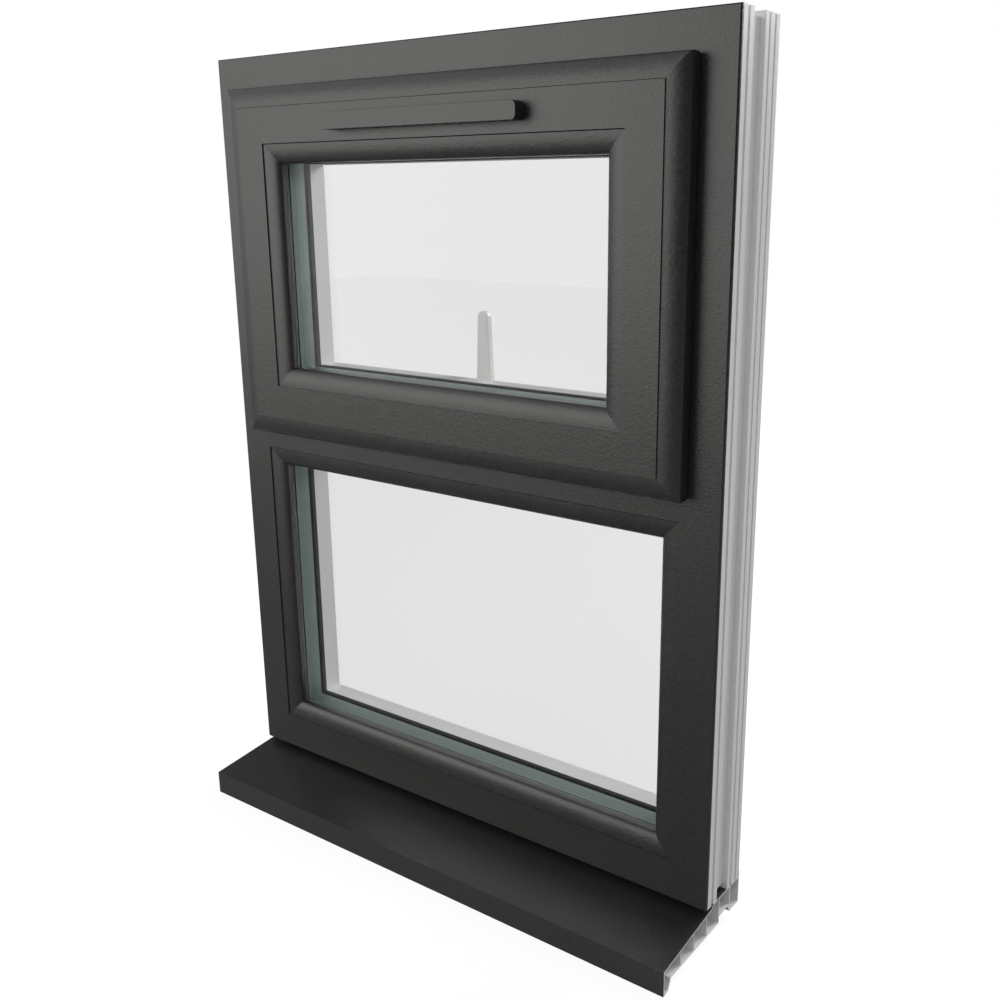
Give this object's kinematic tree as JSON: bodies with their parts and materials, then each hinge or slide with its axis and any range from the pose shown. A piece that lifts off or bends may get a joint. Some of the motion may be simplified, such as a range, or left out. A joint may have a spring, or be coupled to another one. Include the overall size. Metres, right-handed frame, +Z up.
{
  "type": "top-hung window",
  "caption": "Dark outside, white inside plastic window: a top-hung opening sash with a trickle ventilator above a fixed light, on a projecting hollow sill.",
  "frame": {"origin": "middle of the sill's flat underside, straight below the frame's outer face", "axes": "+X to the right seen from outside, +Y into the room, +Z up"},
  "size_m": [0.62, 0.1512, 0.8416],
  "materials": {
    "profile": "fine grained dark foil outside, smooth white inside",
    "glass": "clear",
    "gasket": "matte",
    "sealant": "matte",
    "spacer": "satin",
    "packer": "moulded",
    "steel": "passivated",
    "handle": "satin white",
    "white_plastic": "satin white"
  },
  "bodies": {
    "frame": {"frame_head": "profile", "frame_left_jamb": "profile", "frame_right_jamb": "profile", "frame_bottom_rail": "profile", "transom": "profile", "sill": "profile", "fixed_bead_top": "profile", "fixed_bead_bottom": "profile", "fixed_bead_left": "profile", "fixed_bead_right": "profile", "fixed_outer_pane": "glass", "fixed_inner_pane": "glass", "fixed_spacer": "spacer", "fixed_edge_sealant": "sealant", "fixed_outer_gasket": "gasket", "fixed_inner_gasket": "gasket", "fixed_glazing_packers": "packer", "left_stay_track": "steel", "right_stay_track": "steel", "left_keep": "steel", "right_keep": "steel", "frame_weather_seal": "gasket", "track_screws": "steel", "keep_screws": "steel"},
    "sash": {"sash_top_rail": "profile", "sash_bottom_rail": "profile", "sash_left_stile": "profile", "sash_right_stile": "profile", "sash_bead_top": "profile", "sash_bead_bottom": "profile", "sash_bead_left": "profile", "sash_bead_right": "profile", "sash_outer_pane": "glass", "sash_inner_pane": "glass", "sash_spacer": "spacer", "sash_edge_sealant": "sealant", "sash_outer_gasket": "gasket", "sash_inner_gasket": "gasket", "sash_glazing_packers": "packer", "sash_weather_seal": "gasket", "vent_canopy": "profile", "vent_cover": "white_plastic", "vent_screws": "steel", "left_sash_arm": "steel", "right_sash_arm": "steel", "arm_screws": "steel", "lock_faceplate": "steel", "lock_gearbox": "steel", "handle_base": "handle", "handle_screws": "steel"},
    "left_short_arm": {"left_short_arm": "steel"},
    "right_short_arm": {"right_short_arm": "steel"},
    "left_long_arm": {"left_long_arm": "steel"},
    "right_long_arm": {"right_long_arm": "steel"},
    "lock_rod": {"lock_rod": "steel"},
    "handle": {"handle_lever": "handle", "handle_spindle": "steel"},
    "vent_shutter": {"vent_shutter": "white_plastic"}
  },
  "joints": [
    {"name": "left_short_arm_pivot", "type": "hinge", "parent": "frame", "child": "left_short_arm", "pos_m": [-0.26235, 0.0088, 0.7436], "axis": [-1, 0, 0], "range_deg": [-61.91, 0]},
    {"name": "sash_swing", "type": "hinge", "parent": "left_short_arm", "child": "sash", "pos_m": [-0.26235, 0.0228, 0.7757], "axis": [-1, 0, 0], "range_deg": [0, 106.86]},
    {"name": "left_long_arm_pivot", "type": "hinge", "parent": "frame", "child": "left_long_arm", "pos_m": [-0.25875, 0.012, 0.4607], "axis": [-1, 0, 0], "range_deg": [-14.3, 0]},
    {"name": "right_short_arm_pivot", "type": "hinge", "parent": "frame", "child": "right_short_arm", "pos_m": [0.26235, 0.0088, 0.7436], "axis": [-1, 0, 0], "range_deg": [-61.91, 0]},
    {"name": "right_long_arm_pivot", "type": "hinge", "parent": "frame", "child": "right_long_arm", "pos_m": [0.25875, 0.012, 0.4607], "axis": [-1, 0, 0], "range_deg": [-14.3, 0]},
    {"name": "handle_turn", "type": "hinge", "parent": "sash", "child": "handle", "pos_m": [0, 0.0566, 0.4758], "axis": [0, 1, 0], "range_deg": [0, 90]},
    {"name": "rod_slide", "type": "slide", "parent": "sash", "child": "lock_rod", "axis": [1, 0, 0], "range_m": [0, 0.0181]},
    {"name": "vent_slide", "type": "slide", "parent": "sash", "child": "vent_shutter", "axis": [1, 0, 0], "range_m": [0, 0.0085]}
  ],
  "couplings": [
    {"joint": "left_short_arm_pivot", "follows": "sash_swing", "ratio": -0.57891},
    {"joint": "left_long_arm_pivot", "follows": "sash_swing", "ratio": -0.13339},
    {"joint": "right_short_arm_pivot", "follows": "sash_swing", "ratio": -0.57891},
    {"joint": "right_long_arm_pivot", "follows": "sash_swing", "ratio": -0.13339},
    {"joint": "rod_slide", "follows": "handle_turn", "m_per_rad": 0.011459}
  ]
}
